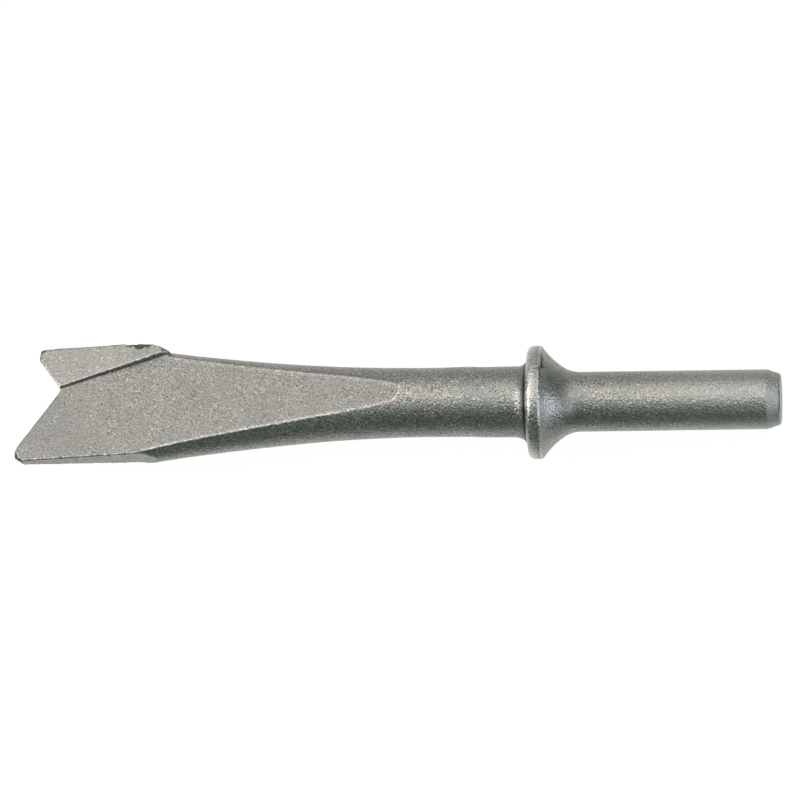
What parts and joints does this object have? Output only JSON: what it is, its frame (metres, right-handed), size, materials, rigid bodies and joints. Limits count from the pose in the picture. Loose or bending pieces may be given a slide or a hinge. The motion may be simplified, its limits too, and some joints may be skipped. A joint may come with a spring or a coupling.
{
  "type": "air hammer panel-cutter chisel",
  "caption": "Forged steel chisel bit with a round shank, tapered collar and flat fishtail blade with a V-notch, for cutting sheet metal with an air hammer.",
  "frame": {"origin": "middle of the flat end that the hammer's piston strikes, on the tool axis", "axes": "+X along the tool axis, out of the struck end, so the tip points along -X; +Z square to the blade, on the side of its front face with the raised cheek; +Y towards the prong that carries the cheek"},
  "size_m": [0.1311, 0.0202, 0.0192],
  "materials": {
    "forged_steel": "shot-blasted and dull grey, with a fine sparkling grain"
  },
  "bodies": {
    "root": {"chisel_forging": "forged_steel"}
  },
  "joints": []
}
